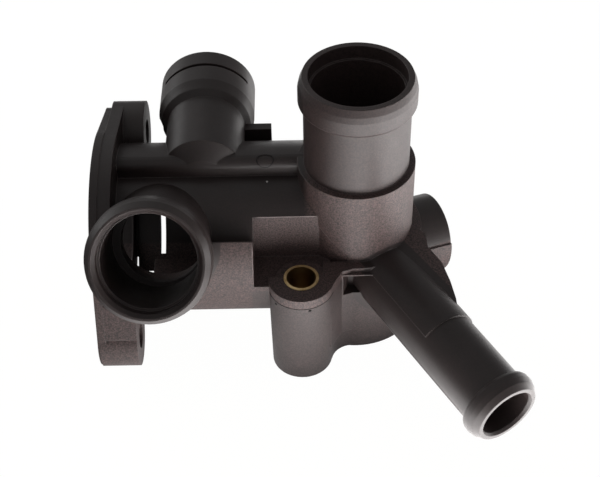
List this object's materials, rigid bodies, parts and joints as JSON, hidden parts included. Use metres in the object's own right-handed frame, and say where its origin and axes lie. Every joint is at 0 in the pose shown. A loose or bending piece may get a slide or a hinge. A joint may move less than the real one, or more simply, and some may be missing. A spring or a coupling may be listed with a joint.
{
  "type": "coolant flange",
  "caption": "Moulded plastic coolant flange with hose spigots, sensor ports, a bolt flange and a bushed bolt column.",
  "frame": {"origin": "centre of the inlet bore on the flange's sealing face", "axes": "+X runs away from the engine along the body tube, +Z is the way the top spigot points, +Y is away from the two front spigots"},
  "size_m": [0.1329, 0.1233, 0.0956],
  "materials": {
    "nylon": "satin glass-filled nylon, grained where the mould was eroded",
    "brass": "plain turned brass"
  },
  "bodies": {
    "root": {"housing": "nylon", "boss_insert": "brass"}
  },
  "joints": []
}
